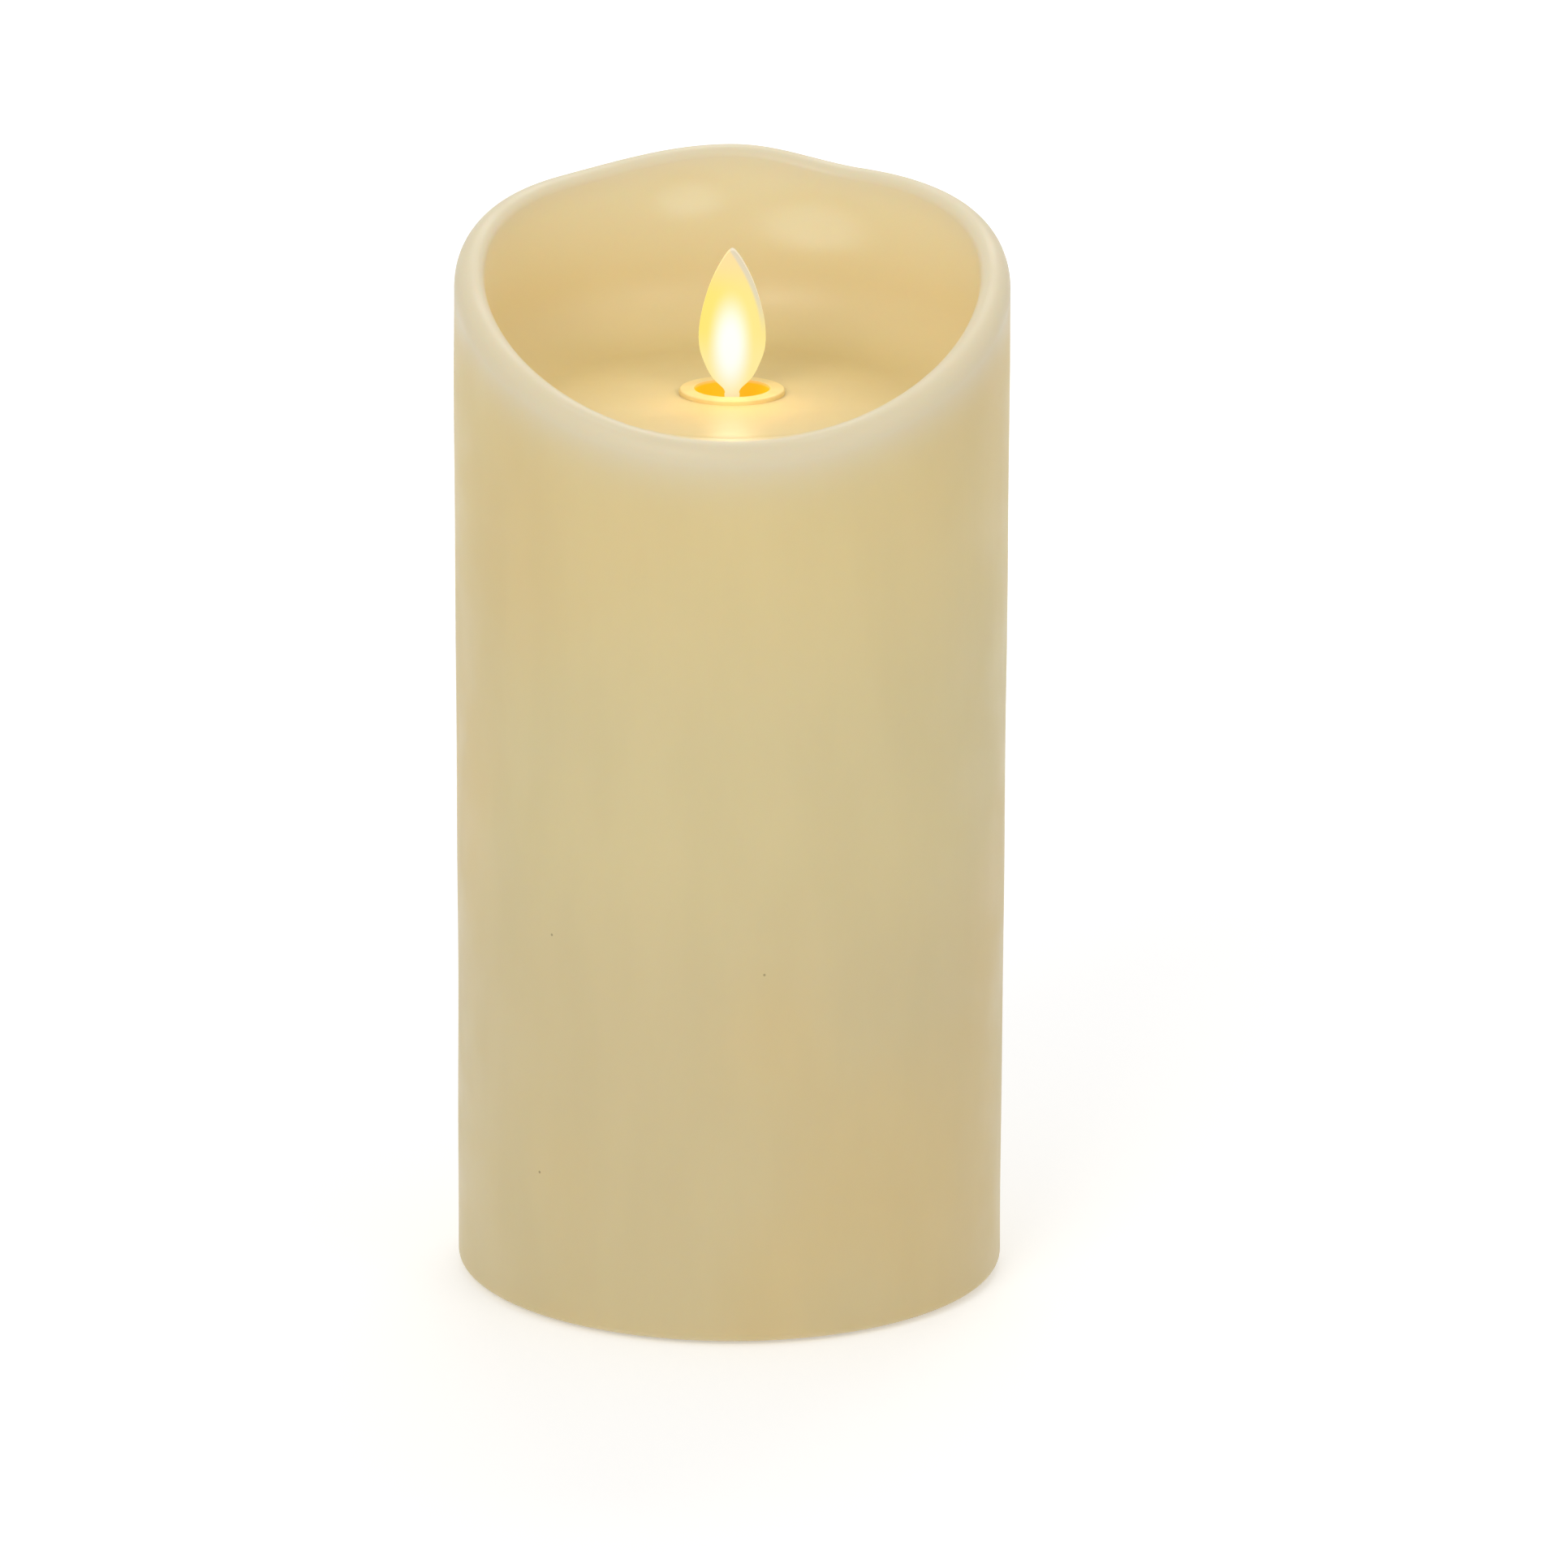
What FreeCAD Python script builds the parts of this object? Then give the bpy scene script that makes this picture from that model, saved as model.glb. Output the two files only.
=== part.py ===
import FreeCAD, Part
import math
import os

# Flameless pillar candle, millimetres. +Z is up, the low side of the rim faces -Y.
# The origin is on the candle's axis, at the level it stands on.

Vec = FreeCAD.Vector

# ---- overall size ----
candle_height = 177.8
candle_diameter = 88.9

# ---- wax shell ----
wall_at_rim = 4.85
wall_below_floor = 5.95
wax_lift = 0.5
wax_bottom_round = 1.8
cup_floor_z = 146.2
cup_corner = 11.0
floor_thickness = 4.2
bore_corner = 3.0
rim_swing = 13.6
rim_second = 2.8
rim_third = 0.3
hump_height = 2.6
hump_half_right = 30.0
hump_half_left = 42.0
rim_steps = 72

# ---- collar and hanging flame ----
collar_hole_radius = 6.1
collar_tube_wall = 0.9
collar_flange_radius = 8.5
collar_flange_thickness = 0.8
collar_tube_depth = 9.0
collar_clearance = 0.3
wire_radius = 0.3
wire_below_floor = 0.8
wire_drop = 2.7
wire_half_eye = 1.8
wire_half_top = 2.2
wire_bend_share = 0.22
running_clearance = 0.06
blade_top_z = 169.8
blade_half_width = 5.38
blade_thickness = 1.8
blade_edge_thickness = 0.7
stem_half_width = 1.2
eye_boss_radius = 1.3
eye_mouth_angle = 10.0
magnet_radius = 3.0
magnet_height = 3.0
magnet_below_wire = 26.0
magnet_cup_wall = 0.65
glue_gap = 0.05

# ---- light, coil and housing ----
lamp_radius = 1.5
lamp_length = 3.6
lamp_flange_radius = 1.9
lamp_flange_height = 0.8
lamp_tilt = 10.0
lamp_base_y = -6.5
lamp_below_neck = 5.6
lamp_pin_radius = 0.25
lamp_pin_length = 3.2
lamp_pin_half_pitch = 0.9
holder_inner_y = -4.3
holder_height = 6.4
holder_half_width = 3.6
chamber_radius = 10.0
housing_wall = 1.5
neck_height = 6.2
shoulder_radius = 13.5
shoulder_thickness = 2.4
skirt_radius = 20.5
skirt_height = 14.0
skirt_cone_height = 11.0
flange_width = 6.0
flange_thickness = 2.0
shelf_thickness = 1.6
shelf_hole_radius = 3.4
coil_below_magnet = 5.0
coil_height = 9.6
coil_flange_radius = 8.2
coil_flange_thickness = 0.8
coil_hub_radius = 3.4
coil_bore_radius = 2.4
winding_below_flange = 0.4
clamp_boss_radius = 2.7
clamp_boss_length = 4.2
clamp_boss_heights = (0.24, 0.72)

# ---- control board ----
board_length = 30.0
board_width = 22.0
board_thickness = 1.2
board_standoff = 2.5
standoff_radius = 2.2
board_screw_x = 12.5
board_screw_y = 8.0

# ---- cells and case (two C cells) ----
cell_radius = 13.1
cell_height = 50.0
cell_cap_radius = 3.2
cell_cap_height = 1.5
cell_clearance = 0.4
case_wall = 1.5
case_roof = 2.0
spring_height = 4.5
spring_wire_radius = 0.35
spring_turns = 3
spring_points_per_turn = 12
spring_bend_share = 0.3
spring_base_radius = 5.4
spring_tip_radius = 2.6
contact_thickness = 0.3
contact_gap = 0.1
contact_half_width = 5.5
tab_half_width = 1.2
tab_height = 1.6
ear_width = 18.0
ear_height = 6.0

# ---- base, door, foot and switch ----
plate_bottom_z = 0.8
plate_thickness = 3.0
plate_clearance = 0.3
door_recess = 0.4
door_clearance = 0.3
door_pin_radius = 0.8
door_pin_length = 1.8
door_pin_clearance = 0.05
snap_half_width = 4.0
snap_thickness = 1.2
snap_height = 3.2
snap_bump = 0.2
foot_width = 2.8
foot_edge = 0.8
foot_groove_depth = 0.8
foot_clearance = 0.2
knob_half_length = 2.0
knob_half_width = 1.3
knob_shoulder = 1.0
knob_above_ground = 0.35
knob_travel = 4.0
switch_y = -24.0
switch_half_length = 8.0
switch_half_width = 4.0
switch_height = 6.0
switch_ear = 4.6
switch_clearance = 0.3

# ---- screws and leads ----
screw_radius = 1.0
screw_head_radius = 1.9
screw_head_height = 1.3
screw_clearance = 0.05
lead_radius = 0.5
coil_lead_radius = 0.3

# ---- places worked out from the sizes above ----
outer_radius = candle_diameter / 2
cup_radius = outer_radius - wall_at_rim
bore_radius = outer_radius - wall_below_floor
floor_under_z = cup_floor_z - floor_thickness
collar_tube_radius = collar_hole_radius + collar_tube_wall
collar_tube_bottom_z = cup_floor_z - collar_tube_depth
wire_z = cup_floor_z - wire_below_floor
eye_z = wire_z - wire_drop
magnet_bottom_z = wire_z - magnet_below_wire - magnet_height
neck_radius = collar_tube_radius + glue_gap
neck_bottom_z = floor_under_z - neck_height
coil_top_z = magnet_bottom_z - coil_below_magnet
coil_bottom_z = coil_top_z - coil_height
plate_top_z = plate_bottom_z + plate_thickness
plate_radius = bore_radius - plate_clearance
door_thickness = plate_thickness - door_recess
door_top_z = plate_bottom_z + door_thickness
cell_pocket_radius = cell_radius + cell_clearance
cell_x = cell_pocket_radius + case_wall / 2
door_contact_z = door_top_z + contact_thickness
case_ceiling_z = door_contact_z + spring_height + cell_height + contact_gap + contact_thickness
case_top_z = case_ceiling_z + case_roof
flange_radius = skirt_radius + housing_wall + flange_width
board_z = case_top_z + board_standoff
board_top_z = board_z + board_thickness
door_half_length = cell_x + cell_pocket_radius + door_clearance
door_front_y = -(cell_pocket_radius + 2 * door_clearance)
hinge_y = cell_pocket_radius + door_thickness / 2 + 2 * door_clearance
hinge_z = plate_bottom_z + door_thickness / 2
foot_outer_radius = plate_radius - foot_edge
foot_inner_radius = foot_outer_radius - foot_width
plate_screw_x = (door_half_length + foot_inner_radius) / 2
plate_screw_y = 6.0


def cylinder(radius, z0, z1, x=0, y=0):
    return Part.makeCylinder(radius, z1 - z0, Vec(x, y, z0))


def rod(radius, start, end):
    return Part.makeCylinder(radius, (end - start).Length, start, end - start)


def block(x0, x1, y0, y1, z0, z1):
    return Part.makeBox(x1 - x0, y1 - y0, z1 - z0, Vec(x0, y0, z0))


def ring(outer, inner, z0, z1, x=0, y=0):
    return cylinder(outer, z0, z1, x, y).cut(cylinder(inner, z0, z1, x, y))


def joined(*shapes):
    return shapes[0].multiFuse(list(shapes[1:])).removeSplitter()


def rounded(shape, radius, z):
    """Rounds the edges that lie level at height z."""
    edges = [e for e in shape.Edges if abs(e.BoundBox.ZMin - z) < 1e-4 and abs(e.BoundBox.ZMax - z) < 1e-4]
    return shape.makeFillet(radius, edges)


def turned(profile):
    """Turns a closed outline of (radius, z) points about the candle's axis."""
    points = [Vec(r, 0, z) for r, z in profile]
    face = Part.Face(Part.makePolygon(points + points[:1]))
    return face.revolve(Vec(0, 0, 0), Vec(0, 0, 1), 360)


def mirrored_x(shape):
    return shape.mirror(Vec(0, 0, 0), Vec(1, 0, 0))


def lead(points, radius, bend_share=0.45):
    """A lead of straight runs joined by arcs, each as large as that share of its shorter run allows."""
    corners = [Vec(*p) for p in points]
    edges = []
    start = corners[0]
    for before, corner, after in zip(corners, corners[1:], corners[2:]):
        into = (corner - before).normalize()
        out = (after - corner).normalize()
        shorter = min((corner - before).Length, (after - corner).Length)
        reach = bend_share * shorter
        turn = into.getAngle(out)
        bulge = reach * math.tan(turn / 4)
        first = corner - into * reach
        last = corner + out * reach
        inward = (out - into).normalize()
        middle = (first + last) * 0.5 - inward * bulge * math.cos(turn / 2)
        edges.append(Part.LineSegment(start, first).toShape())
        edges.append(Part.Arc(first, middle, last).toShape())
        start = last
    edges.append(Part.LineSegment(start, corners[-1]).toShape())
    path = Part.Wire(edges)
    section = Part.Wire(Part.makeCircle(radius, corners[0], corners[1] - corners[0]))
    return path.makePipeShell([section], True, True)


def screw(tip, head, head_radius=screw_head_radius):
    """A cross-headed screw whose shank runs from tip to the underside of its head."""
    axis = (head - tip).normalize()
    top = head + axis * screw_head_height
    body = joined(rod(screw_radius, tip, head), rod(head_radius, head, top))
    half = Part.makeBox(0.5, 2.2, 0.7, Vec(-0.25, -1.1, -0.7))
    cross = half.fuse(Part.makeBox(2.2, 0.5, 0.7, Vec(-1.1, -0.25, -0.7)))
    cross.Placement = FreeCAD.Placement(top, FreeCAD.Rotation(Vec(0, 0, 1), axis))
    return body.cut(cross)


def save(name, shape):
    problems = [s for s in shape.Solids if not s.isValid() or s.Volume <= 0]
    print(f"{name}: {len(shape.Solids)} solid(s), {shape.Volume:.1f} mm3, {len(problems)} bad")
    shape.exportStep(f"parts/{name}.step")


# ---- wax shell ----

def rim_crest(angle):
    """Height of the rim's crest; angle in radians from the low front side."""
    mean = candle_height - rim_swing + rim_second + rim_third - hump_height
    base = mean - rim_swing * math.cos(angle) - rim_second * math.cos(2 * angle)
    base += rim_third * math.cos(3 * angle)
    from_back = math.degrees(math.remainder(angle - math.pi, 2 * math.pi))
    half = hump_half_right if from_back < 0 else hump_half_left
    share = min(abs(from_back) / half, 1)
    return base + hump_height * (1 + math.cos(math.pi * share)) / 2


def rim_cutter():
    """Everything above the rim: a closed ring whose underside is the soft, waving rim."""
    over = candle_height + 12
    middle = (cup_radius + outer_radius) / 2
    below = [
        (cup_radius - 8.0, 3.0), (cup_radius - 6.0, -1.9), (cup_radius - 2.5, -1.9),
        (cup_radius - 0.4, -1.9), (cup_radius + 0.5, -0.4), (cup_radius + 1.3, 0.0),
        (middle, 0.0), (outer_radius - 1.5, 0.0), (outer_radius - 0.35, -0.35),
        (outer_radius - 0.02, -2.2), (outer_radius + 0.3, -4.2), (outer_radius + 3.0, -4.6),
        (outer_radius + 6.0, 2.0),
    ]
    above = [(outer_radius + 6.0, over), (middle, over + 2), (cup_radius - 8.0, over)]
    step = 2 * math.pi / rim_steps
    crests = [rim_crest(i * step) for i in range(rim_steps)]
    poles = []
    for i, crest in enumerate(crests):
        bend = crests[i - 1] - 2 * crest + crests[(i + 1) % rim_steps]
        level = crest - bend / 6
        side, depth = math.sin(i * step), -math.cos(i * step)
        row = [Vec(r * side, r * depth, level + rise) for r, rise in below]
        row += [Vec(r * side, r * depth, z) for r, z in above]
        poles.append(row)
    columns = len(below) + len(above)
    surface = Part.BSplineSurface()
    surface.buildFromPolesMultsKnots(
        poles, [1] * (rim_steps + 1), [1] * (columns + 1),
        list(range(rim_steps + 1)), list(range(columns + 1)), True, True, 3, 3)
    solid = Part.Solid(Part.Shell([surface.toShape()]))
    if solid.Volume < 0:
        solid.reverse()
    return solid


def wax_shell():
    blank = rounded(cylinder(outer_radius, wax_lift, candle_height + 1), wax_bottom_round, wax_lift)
    cup = rounded(cylinder(cup_radius, cup_floor_z, candle_height + 2), cup_corner, cup_floor_z)
    bore = rounded(cylinder(bore_radius, wax_lift - 1, floor_under_z), bore_corner, floor_under_z)
    hole = cylinder(collar_tube_radius + collar_clearance, floor_under_z - 1, cup_floor_z + 1)
    return blank.cut(cup).cut(bore).cut(hole).cut(rim_cutter())


# ---- collar, wire, flame and magnet ----

def flame_collar():
    top_z = cup_floor_z + collar_flange_thickness
    flange = rounded(cylinder(collar_flange_radius, cup_floor_z, top_z), 0.35, top_z)
    tube = cylinder(collar_tube_radius, collar_tube_bottom_z, cup_floor_z)
    hole = cylinder(collar_hole_radius, collar_tube_bottom_z - 1, top_z + 1)
    reach = Vec(collar_tube_radius + 1, 0, 0)
    level = Vec(0, 0, wire_z)
    seats = rod(wire_radius + running_clearance, level - reach, level + reach)
    return joined(flange, tube).cut(hole).cut(seats)


def pivot_wire():
    end = collar_tube_radius - 0.15
    right = [(wire_half_eye, 0, eye_z), (wire_half_top, 0, wire_z), (end, 0, wire_z)]
    left = [(-x, y, z) for x, y, z in reversed(right)]
    return lead(left + right, wire_radius, wire_bend_share)


def flame_paddle():
    shoulder_z = cup_floor_z - 0.4
    rise = blade_top_z - shoulder_z
    shares = [(0.232, 0.046), (0.43, 0.092), (0.63, 0.142), (0.79, 0.21), (0.96, 0.315), (1.0, 0.4),
              (0.88, 0.6), (0.54, 0.825), (0.29, 0.93), (0.15, 0.975)]
    side = [(stem_half_width, shoulder_z)]
    side += [(s * blade_half_width, shoulder_z + t * rise) for s, t in shares]
    loop = side + [(0, blade_top_z)] + [(-x, z) for x, z in reversed(side)]
    corners = [Vec(x, 0, z) for x, z in loop]
    edge = Part.BSplineCurve()
    edge.interpolate(Points=corners)
    foot = Part.LineSegment(corners[-1], corners[0]).toShape()
    outline = Part.Wire([edge.toShape(), foot])
    blank = Part.Face(outline).extrude(Vec(0, blade_thickness * 2, 0))
    blank.translate(Vec(0, -blade_thickness, 0))
    cup_top_z = magnet_bottom_z + magnet_height
    stem = block(-stem_half_width, stem_half_width, -blade_thickness / 2, blade_thickness / 2,
                 cup_top_z + 0.4, shoulder_z + 0.2)
    sag = (blade_thickness - blade_edge_thickness) / 2
    lens_radius = (blade_half_width ** 2 + sag ** 2) / (2 * sag)
    offset = lens_radius - blade_thickness / 2
    low, high = shoulder_z - 1, blade_top_z + 1
    lens = cylinder(lens_radius, low, high, 0, offset).common(cylinder(lens_radius, low, high, 0, -offset))
    blade = blank.common(lens)
    magnet_hole = magnet_radius + glue_gap
    cup = cylinder(magnet_hole + magnet_cup_wall, magnet_bottom_z, cup_top_z + 0.8)
    pocket = cylinder(magnet_hole, magnet_bottom_z - 1, cup_top_z)
    boss = rod(eye_boss_radius, Vec(-stem_half_width, 0, eye_z), Vec(stem_half_width, 0, eye_z))
    throat = wire_radius + running_clearance
    mouth = throat + stem_half_width * math.tan(math.radians(eye_mouth_angle))
    eye = Part.makeCone(throat, mouth, stem_half_width, Vec(0, 0, eye_z), Vec(1, 0, 0))
    eye = eye.fuse(mirrored_x(eye))
    return joined(blade, stem, cup, boss).cut(pocket).cut(eye)


def flame_magnet():
    magnet = cylinder(magnet_radius, magnet_bottom_z, magnet_bottom_z + magnet_height - glue_gap)
    return rounded(magnet, 0.2, magnet_bottom_z)


# ---- housing, lamp and coil ----

lamp_axis = Vec(0, math.sin(math.radians(lamp_tilt)), math.cos(math.radians(lamp_tilt)))
lamp_base = Vec(0, lamp_base_y, neck_bottom_z - lamp_below_neck)
shelf_top_z = coil_bottom_z
holder_top_z = neck_bottom_z
holder_bottom_z = holder_top_z - holder_height
clamp_span = neck_bottom_z - case_top_z - skirt_height - skirt_cone_height
lead_lane = (chamber_radius + coil_flange_radius) / 2


def housing():
    """Both halves of the clamshell, still in one piece."""
    wall_radius = chamber_radius + housing_wall
    skirt_outer = skirt_radius + housing_wall
    skirt_top_z = case_top_z + skirt_height
    cone_top_z = skirt_top_z + skirt_cone_height
    shoulder_z = floor_under_z - shoulder_thickness
    shell = turned([
        (skirt_radius, case_top_z), (flange_radius, case_top_z),
        (flange_radius, case_top_z + flange_thickness), (skirt_outer, case_top_z + flange_thickness),
        (skirt_outer, skirt_top_z), (wall_radius, cone_top_z), (wall_radius, shoulder_z - 2),
        (shoulder_radius, shoulder_z), (shoulder_radius, floor_under_z), (neck_radius, floor_under_z),
        (neck_radius, neck_bottom_z), (chamber_radius, neck_bottom_z),
        (chamber_radius, shelf_top_z), (shelf_hole_radius, shelf_top_z),
        (shelf_hole_radius, shelf_top_z - shelf_thickness),
        (chamber_radius, shelf_top_z - shelf_thickness), (chamber_radius, cone_top_z),
        (skirt_radius, skirt_top_z),
    ])
    pieces = [shell]
    for side in (-1, 1):
        x = side * (wall_radius + clamp_boss_radius - 0.9)
        for share in clamp_boss_heights:
            z = cone_top_z + share * clamp_span
            ends = Vec(x, -clamp_boss_length, z), Vec(x, clamp_boss_length, z)
            pieces.append(rod(clamp_boss_radius, *ends))
    ledge = block(-holder_half_width, holder_half_width, -chamber_radius - 0.5, holder_inner_y - 1.5,
                  holder_bottom_z - 1.2, holder_bottom_z)
    inside = cylinder(wall_radius - 0.2, holder_bottom_z - 2, holder_bottom_z + 1)
    pins_way = block(-2.2, 2.2, -chamber_radius, 0, holder_bottom_z - 2, holder_bottom_z + 1)
    pieces.append(ledge.common(inside).cut(pins_way))
    whole = joined(*pieces)
    whole = whole.cut(cylinder(chamber_radius, shelf_top_z, neck_bottom_z).cut(
        cylinder(chamber_radius, holder_bottom_z - 1.2, holder_bottom_z)))
    for x in (-1.3, 1.3):
        for y in (-lead_lane, lead_lane):
            notch = cylinder(lead_radius + 0.25, shelf_top_z - shelf_thickness - 1, shelf_top_z + 1, x, y)
            whole = whole.cut(notch)
    for tip, head in clamp_screw_lines():
        whole = whole.cut(rod(screw_radius + screw_clearance, tip - (head - tip).normalize() * 0.3, head))
    for x, y in flange_screw_places():
        whole = whole.cut(cylinder(screw_radius + screw_clearance, case_top_z - 1,
                                   case_top_z + flange_thickness + 1, x, y))
    return whole


def clamp_screw_lines():
    lines = []
    cone_top_z = case_top_z + skirt_height + skirt_cone_height
    for side in (-1, 1):
        x = side * (chamber_radius + housing_wall + clamp_boss_radius - 0.9)
        for share in clamp_boss_heights:
            z = cone_top_z + share * clamp_span
            lines.append((Vec(x, clamp_boss_length - 1, z), Vec(x, -clamp_boss_length, z)))
    return lines


def flange_screw_places():
    radius = flange_radius - flange_width / 2
    angles = [math.radians(a) for a in (45, 135, 225, 315)]
    return [(radius * math.cos(a), radius * math.sin(a)) for a in angles]


def housing_half(whole, side):
    reach = flange_radius + 5
    keep = block(-reach, reach, min(0, side * reach), max(0, side * reach), case_top_z - 1, cup_floor_z)
    return whole.common(keep)


def led_holder():
    body = block(-holder_half_width, holder_half_width, -chamber_radius, holder_inner_y,
                 holder_bottom_z, holder_top_z)
    body = body.common(cylinder(chamber_radius - glue_gap, holder_bottom_z, holder_top_z))
    bore = rod(lamp_radius + glue_gap, lamp_base - lamp_axis * 4, lamp_base + lamp_axis * 9)
    seat = rod(lamp_flange_radius + glue_gap, lamp_base - lamp_axis * 4,
               lamp_base + lamp_axis * (lamp_flange_height + glue_gap))
    return body.cut(bore).cut(seat)


def led_lamp():
    flange = rod(lamp_flange_radius, lamp_base, lamp_base + lamp_axis * lamp_flange_height)
    body = rod(lamp_radius, lamp_base, lamp_base + lamp_axis * lamp_length)
    dome = Part.makeSphere(lamp_radius, lamp_base + lamp_axis * lamp_length)
    return joined(flange, body, dome)


def lamp_pin_feet():
    return [lamp_base + Vec(x, 0, 0) - lamp_axis * lamp_pin_length
            for x in (-lamp_pin_half_pitch, lamp_pin_half_pitch)]


def led_pins():
    pins = [rod(lamp_pin_radius, foot, foot + lamp_axis * lamp_pin_length) for foot in lamp_pin_feet()]
    return Part.makeCompound(pins)


def led_leads():
    leads = []
    for foot, side in zip(lamp_pin_feet(), (-1, 1)):
        start = foot - lamp_axis * 0.02
        leads.append(lead([
            (start.x, start.y, start.z), (side * 1.3, -lead_lane + 0.1, start.z - 5.5),
            (side * 1.3, -lead_lane, start.z - 12), (side * 1.3, -lead_lane, shelf_top_z - 8),
            (side * 3.4, -lead_lane, board_top_z + 9), (side * 3.4, -lead_lane, board_top_z + 0.02),
        ], lead_radius))
    return Part.makeCompound(leads)


def coil_bobbin():
    low = ring(coil_flange_radius, coil_bore_radius, coil_bottom_z, coil_bottom_z + coil_flange_thickness)
    hub = ring(coil_hub_radius, coil_bore_radius, coil_bottom_z, coil_top_z)
    high = ring(coil_flange_radius, coil_bore_radius, coil_top_z - coil_flange_thickness, coil_top_z)
    spigot = ring(shelf_hole_radius - running_clearance, coil_bore_radius,
                  coil_bottom_z - shelf_thickness, coil_bottom_z)
    return joined(low, hub, high, spigot)


def coil_winding():
    return ring(coil_flange_radius - winding_below_flange, coil_hub_radius + 0.02,
                coil_bottom_z + coil_flange_thickness + 0.02, coil_top_z - coil_flange_thickness - 0.02)


def coil_leads():
    leads = []
    for side in (-1, 1):
        leads.append(lead([
            (side * 1.3, lead_lane - 1.0, coil_bottom_z + 2.6), (side * 1.3, lead_lane, coil_bottom_z + 1.6),
            (side * 1.3, lead_lane - 0.1, coil_bottom_z - 12), (side * 5.0, lead_lane, board_top_z + 9),
            (side * 5.0, lead_lane, board_top_z + 0.02),
        ], coil_lead_radius))
    return Part.makeCompound(leads)


# ---- control board ----

def control_board():
    board = block(-board_length / 2, board_length / 2, -board_width / 2, board_width / 2,
                  board_z, board_top_z)
    corners = [e for e in board.Edges if abs(e.BoundBox.ZLength - board_thickness) < 1e-6]
    board = board.makeFillet(1.5, corners)
    for x, y in board_screw_places():
        board = board.cut(cylinder(screw_radius + 2 * screw_clearance, board_z - 1, board_top_z + 1, x, y))
    return board


def board_screw_places():
    return [(-board_screw_x, board_screw_y), (board_screw_x, -board_screw_y)]


def control_chip():
    x0, y0 = -4.0, -1.5
    body = block(x0, x0 + 6.2, y0, y0 + 3.9, board_top_z + 0.15, board_top_z + 1.6)
    pins = []
    for i in range(4):
        x = x0 + 0.85 + 1.4 * i
        pins.append(block(x, x + 0.42, y0 - 0.9, y0 + 0.2, board_top_z, board_top_z + 0.5))
        pins.append(block(x, x + 0.42, y0 + 3.7, y0 + 4.8, board_top_z, board_top_z + 0.5))
    return joined(body, *pins)


def board_capacitor():
    can = cylinder(2.5, board_top_z, board_top_z + 7.0, 8.5, 2.0)
    return rounded(can, 0.4, board_top_z + 7.0)


def board_resistors():
    places = [(-10.5, -4.0), (-10.5, -1.4), (-10.5, 1.2), (-4.2, 5.2), (-0.6, 5.2), (4.4, -4.4)]
    return Part.makeCompound([block(x, x + 2.0, y, y + 1.25, board_top_z, board_top_z + 0.55)
                              for x, y in places])


def timer_crystal():
    return rod(1.0, Vec(3.4, -1.0, board_top_z + 1.0), Vec(3.4, 5.0, board_top_z + 1.0))


def board_screws():
    screws = [screw(Vec(x, y, case_top_z + 0.3), Vec(x, y, board_top_z)) for x, y in board_screw_places()]
    return Part.makeCompound(screws)


# ---- cells, case and contacts ----

def battery_case():
    body = cylinder(cell_pocket_radius + case_wall, plate_top_z, case_ceiling_z + 0.1, -cell_x)
    body = body.fuse(mirrored_x(body))
    roof = cylinder(flange_radius, case_ceiling_z, case_top_z)
    ear_x = plate_screw_x + screw_head_radius + 1
    ears = block(-ear_x, ear_x, -ear_width / 2, ear_width / 2, plate_top_z, plate_top_z + ear_height)
    posts = [cylinder(standoff_radius, case_top_z - 0.5, board_z, x, y) for x, y in board_screw_places()]
    posts += [cylinder(standoff_radius, case_ceiling_z - 3.5, case_ceiling_z + 0.5, x, y)
              for x, y in flange_screw_places()]
    whole = joined(body, roof, ears, *posts)
    for x in (-cell_x, cell_x):
        whole = whole.cut(cylinder(cell_pocket_radius, plate_top_z - 1, case_ceiling_z, x))
        slot_y = max(tab_y + contact_thickness + 0.3, 0.6 - cell_pocket_radius)
        whole = whole.cut(block(x - tab_half_width - 0.3, x + tab_half_width + 0.3, tab_y - 0.3,
                                slot_y, case_ceiling_z - 1, case_top_z + 1))
    for x in (-2, 2):
        whole = whole.cut(cylinder(lead_radius + 0.5, case_ceiling_z - 1, case_top_z + 1, x, switch_lead_y))
    for x, y in board_screw_places():
        whole = whole.cut(cylinder(screw_radius + screw_clearance, case_top_z, board_z + 1, x, y))
    for x, y in flange_screw_places():
        whole = whole.cut(cylinder(screw_radius + screw_clearance, case_ceiling_z - 4, case_top_z + 1, x, y))
    for x, y in plate_screw_places():
        whole = whole.cut(cylinder(screw_radius + screw_clearance, plate_top_z - 1, plate_top_z + 5, x, y))
    return whole


tab_y = -(board_width / 2 + 0.9)
switch_lead_y = -(skirt_radius - 3.0)
pad_y = -board_width / 2 + 1.2


def plate_screw_places():
    return [(x, y) for x in (-plate_screw_x, plate_screw_x) for y in (-plate_screw_y, plate_screw_y)]


def cell(bottom_z, x, cap_up):
    can_height = cell_height - cell_cap_height
    can = cylinder(cell_radius, 0, can_height)
    can = rounded(rounded(can, 0.6, 0), 0.6, can_height)
    cap = rounded(cylinder(cell_cap_radius, can_height - 0.5, cell_height), 0.4, cell_height)
    whole = joined(can, cap)
    if not cap_up:
        whole.rotate(Vec(0, 0, 0), Vec(1, 0, 0), 180)
        whole.translate(Vec(0, 0, cell_height))
    whole.translate(Vec(x, 0, bottom_z))
    return whole


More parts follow.
